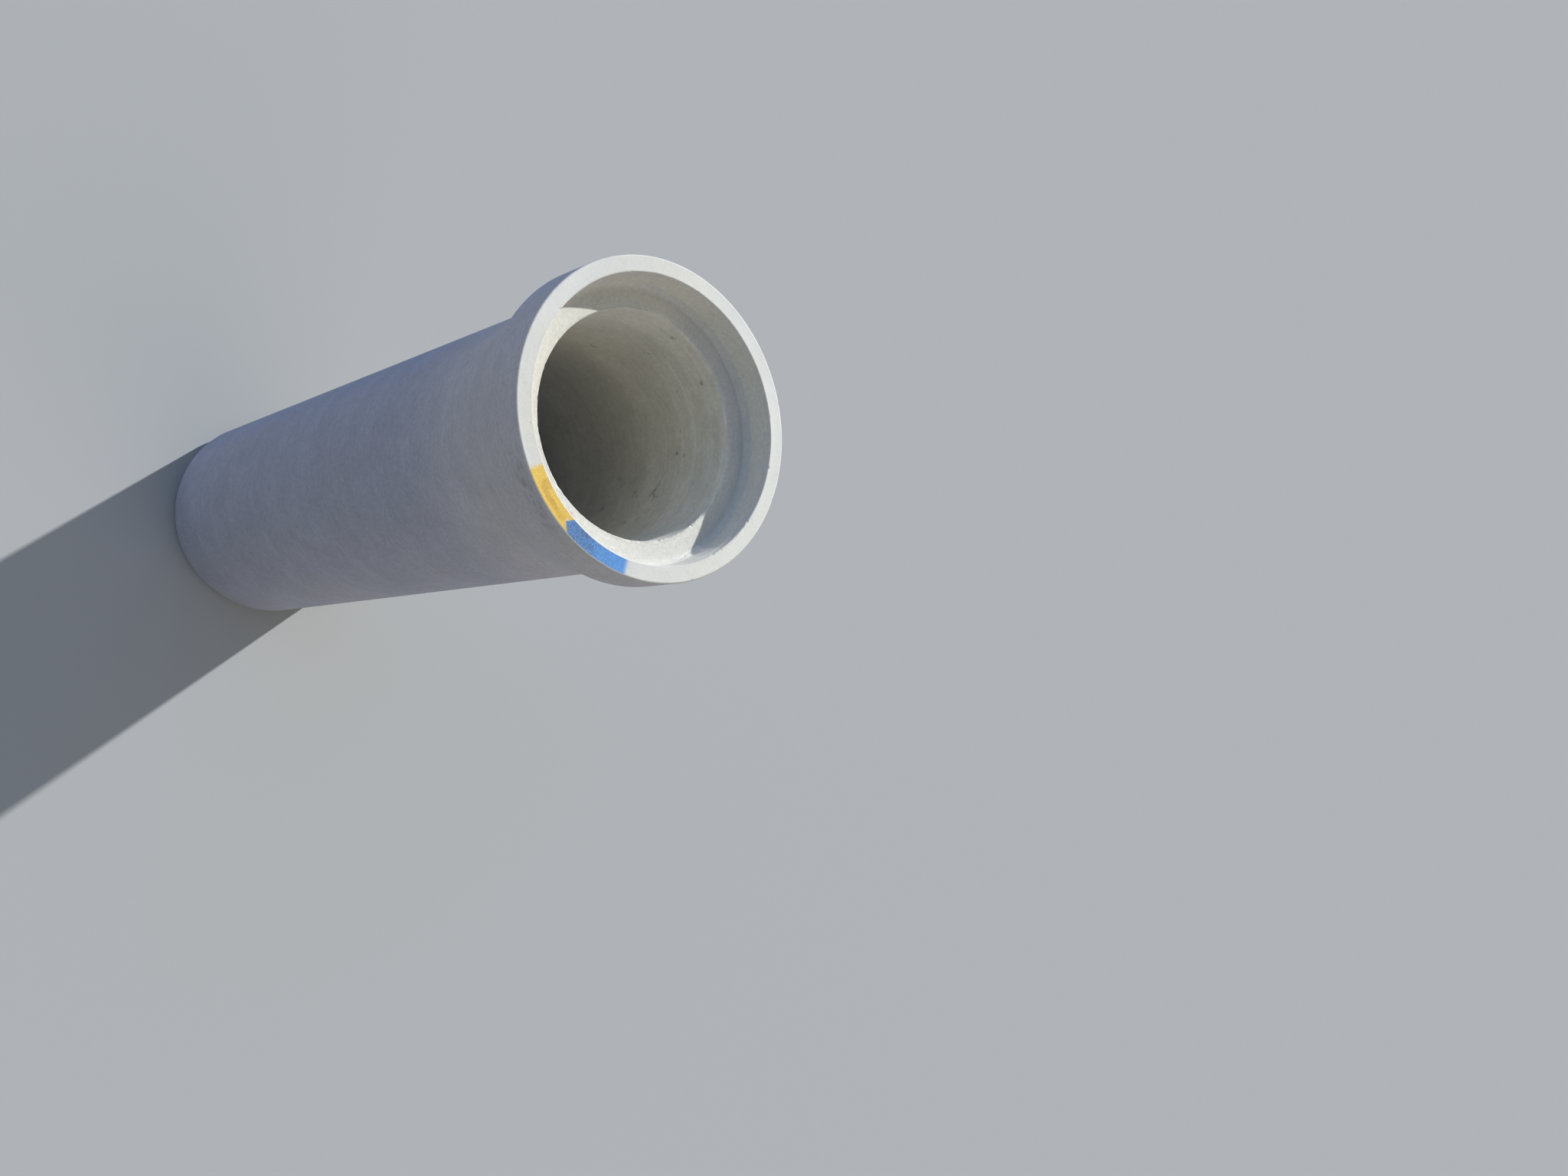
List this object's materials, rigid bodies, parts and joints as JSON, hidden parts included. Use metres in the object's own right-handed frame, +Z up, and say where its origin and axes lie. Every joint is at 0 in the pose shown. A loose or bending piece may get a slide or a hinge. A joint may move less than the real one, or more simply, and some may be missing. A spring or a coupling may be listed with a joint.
{
  "type": "concrete culvert pipe",
  "caption": "Precast concrete culvert pipe standing on its spigot end: a flared bell with a stepped socket on top, a long plain barrel, and a short stepped spigot below.",
  "frame": {"origin": "centre of the spigot's end face, on the floor that the pipe stands on", "axes": "+Z up along the pipe's own axis, from the spigot to the socket; X and Y across"},
  "size_m": [0.8318, 0.8318, 2.533],
  "materials": {
    "concrete": "spun cement-grey concrete, matte, with fine hoop lines on the barrel, a pale off-white socket end face carrying a yellow and a blue sprayed colour mark, small dark specks and light staining"
  },
  "bodies": {
    "root": {"concrete_pipe": "concrete"}
  },
  "joints": []
}
